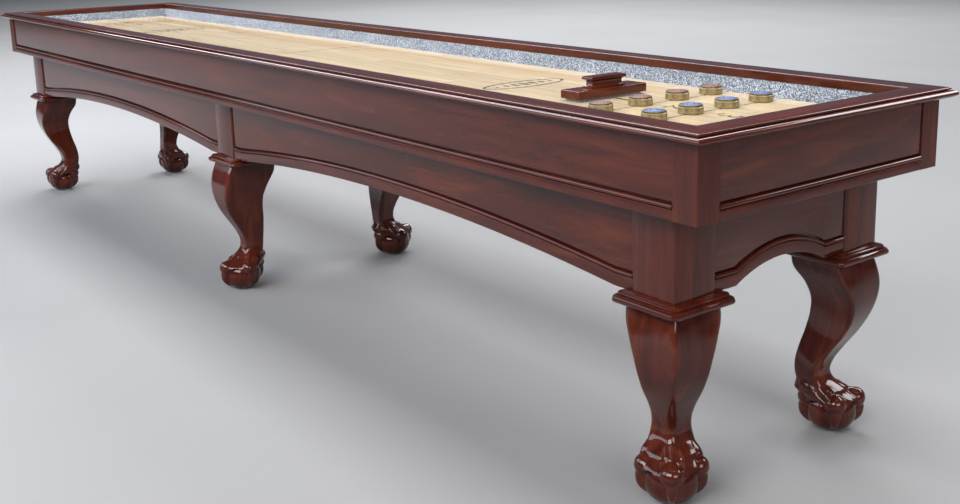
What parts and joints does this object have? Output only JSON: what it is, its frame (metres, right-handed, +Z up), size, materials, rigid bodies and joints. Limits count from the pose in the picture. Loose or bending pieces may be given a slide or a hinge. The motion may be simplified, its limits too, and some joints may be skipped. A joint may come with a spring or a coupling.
{
  "type": "shuffleboard table",
  "caption": "Long indoor table shuffleboard on carved cabriole legs, with a maple playfield sunk in a carpeted gutter, sliding pucks and a sweep brush.",
  "frame": {"origin": "on the floor under the middle of the table", "axes": "+X runs along the table to its near end, +Y across it to its back, +Z up"},
  "size_m": [4.048, 0.784, 0.7779],
  "materials": {
    "mahogany": "red-brown stained mahogany under satin-gloss lacquer",
    "maple": "maple strips under a thick glossy poured finish",
    "carpet": "short speckled blue-grey loop pile",
    "plywood": "bare sanded plywood",
    "zinc_steel": "zinc plated",
    "red_puck": "antique brass body with a deep red cap",
    "blue_puck": "antique brass body with a deep blue cap",
    "nylon": "smooth off-white nylon",
    "bristle": "pale blue-grey trimmed bristle"
  },
  "bodies": {
    "table": {"adjuster_bar_far": "zinc_steel", "adjuster_bar_near": "zinc_steel", "cabinet_floor_far": "plywood", "cabinet_floor_near": "plywood", "corner_post_back_far": "mahogany", "corner_post_back_near": "mahogany", "corner_post_front_far": "mahogany", "corner_post_front_near": "mahogany", "end_apron_far": "mahogany", "end_apron_near": "mahogany", "end_board_far": "mahogany", "end_board_near": "mahogany", "gutter_lining_far": "carpet", "gutter_lining_near": "carpet", "joining_plate": "zinc_steel", "leg_back_far": "mahogany", "leg_back_middle": "mahogany", "leg_back_near": "mahogany", "leg_front_far": "mahogany", "leg_front_middle": "mahogany", "leg_front_near": "mahogany", "playfield": "maple", "playfield_bearer_1": "plywood", "playfield_bearer_2": "plywood", "playfield_bearer_3": "plywood", "playfield_bearer_4": "plywood", "side_apron_back_far": "mahogany", "side_apron_back_near": "mahogany", "side_apron_front_far": "mahogany", "side_apron_front_near": "mahogany", "side_board_back_far": "mahogany", "side_board_back_near": "mahogany", "side_board_front_far": "mahogany", "side_board_front_near": "mahogany", "top_rail_back_far": "mahogany", "top_rail_back_near": "mahogany", "top_rail_end_far": "mahogany", "top_rail_end_near": "mahogany", "top_rail_front_far": "mahogany", "top_rail_front_near": "mahogany"},
    "glide_back_far": {"levelling_glide_back_far": "nylon"},
    "glide_back_middle": {"levelling_glide_back_middle": "nylon"},
    "glide_back_near": {"levelling_glide_back_near": "nylon"},
    "glide_front_far": {"levelling_glide_front_far": "nylon"},
    "glide_front_middle": {"levelling_glide_front_middle": "nylon"},
    "glide_front_near": {"levelling_glide_front_near": "nylon"},
    "adjuster_far": {"adjuster_bolt_far": "zinc_steel"},
    "adjuster_near": {"adjuster_bolt_near": "zinc_steel"},
    "puck_red_1": {"puck_red_1": "red_puck"},
    "puck_red_2": {"puck_red_2": "red_puck"},
    "puck_red_3": {"puck_red_3": "red_puck"},
    "puck_red_4": {"puck_red_4": "red_puck"},
    "puck_blue_1": {"puck_blue_1": "blue_puck"},
    "puck_blue_2": {"puck_blue_2": "blue_puck"},
    "puck_blue_3": {"puck_blue_3": "blue_puck"},
    "puck_blue_4": {"puck_blue_4": "blue_puck"},
    "brush": {"brush_block": "mahogany", "brush_handle": "mahogany", "brush_bristles": "bristle"}
  },
  "joints": [
    {"name": "glide_turn_back_far", "type": "hinge", "parent": "table", "child": "glide_back_far", "pos_m": [-1.841, 0.256, 0], "axis": [0, 0, 1], "range_deg": [-720, 720]},
    {"name": "glide_turn_back_middle", "type": "hinge", "parent": "table", "child": "glide_back_middle", "pos_m": [0, 0.284, 0], "axis": [0, 0, 1], "range_deg": [-720, 720]},
    {"name": "glide_turn_back_near", "type": "hinge", "parent": "table", "child": "glide_back_near", "pos_m": [1.841, 0.256, 0], "axis": [0, 0, 1], "range_deg": [-720, 720]},
    {"name": "glide_turn_front_far", "type": "hinge", "parent": "table", "child": "glide_front_far", "pos_m": [-1.841, -0.256, 0], "axis": [0, 0, 1], "range_deg": [-720, 720]},
    {"name": "glide_turn_front_middle", "type": "hinge", "parent": "table", "child": "glide_front_middle", "pos_m": [0, -0.284, 0], "axis": [0, 0, 1], "range_deg": [-720, 720]},
    {"name": "glide_turn_front_near", "type": "hinge", "parent": "table", "child": "glide_front_near", "pos_m": [1.841, -0.256, 0], "axis": [0, 0, 1], "range_deg": [-720, 720]},
    {"name": "adjuster_turn_far", "type": "hinge", "parent": "table", "child": "adjuster_far", "pos_m": [-0.95, 0, 0.633], "axis": [0, 0, 1], "range_deg": [-720, 720]},
    {"name": "adjuster_turn_near", "type": "hinge", "parent": "table", "child": "adjuster_near", "pos_m": [0.95, 0, 0.633], "axis": [0, 0, 1], "range_deg": [-720, 720]},
    {"name": "slide_puck_red_1", "type": "slide", "parent": "table", "child": "puck_red_1", "axis": [1, 0, 0], "range_m": [-0.065, 0.09]},
    {"name": "slide_puck_red_2", "type": "slide", "parent": "table", "child": "puck_red_2", "axis": [1, 0, 0], "range_m": [-0.065, 0.09]},
    {"name": "slide_puck_red_3", "type": "slide", "parent": "table", "child": "puck_red_3", "axis": [1, 0, 0], "range_m": [-0.065, 0.09]},
    {"name": "slide_puck_red_4", "type": "slide", "parent": "table", "child": "puck_red_4", "axis": [1, 0, 0], "range_m": [-3.3, 0.09]},
    {"name": "slide_puck_blue_1", "type": "slide", "parent": "table", "child": "puck_blue_1", "axis": [1, 0, 0], "range_m": [-0.09, 0.12]},
    {"name": "slide_puck_blue_2", "type": "slide", "parent": "table", "child": "puck_blue_2", "axis": [1, 0, 0], "range_m": [-0.09, 0.12]},
    {"name": "slide_puck_blue_3", "type": "slide", "parent": "table", "child": "puck_blue_3", "axis": [1, 0, 0], "range_m": [-0.09, 0.12]},
    {"name": "slide_puck_blue_4", "type": "slide", "parent": "table", "child": "puck_blue_4", "axis": [1, 0, 0], "range_m": [-0.09, 0.12]},
    {"name": "slide_brush", "type": "slide", "parent": "table", "child": "brush", "axis": [1, 0, 0], "range_m": [-3.15, 0.06]}
  ]
}
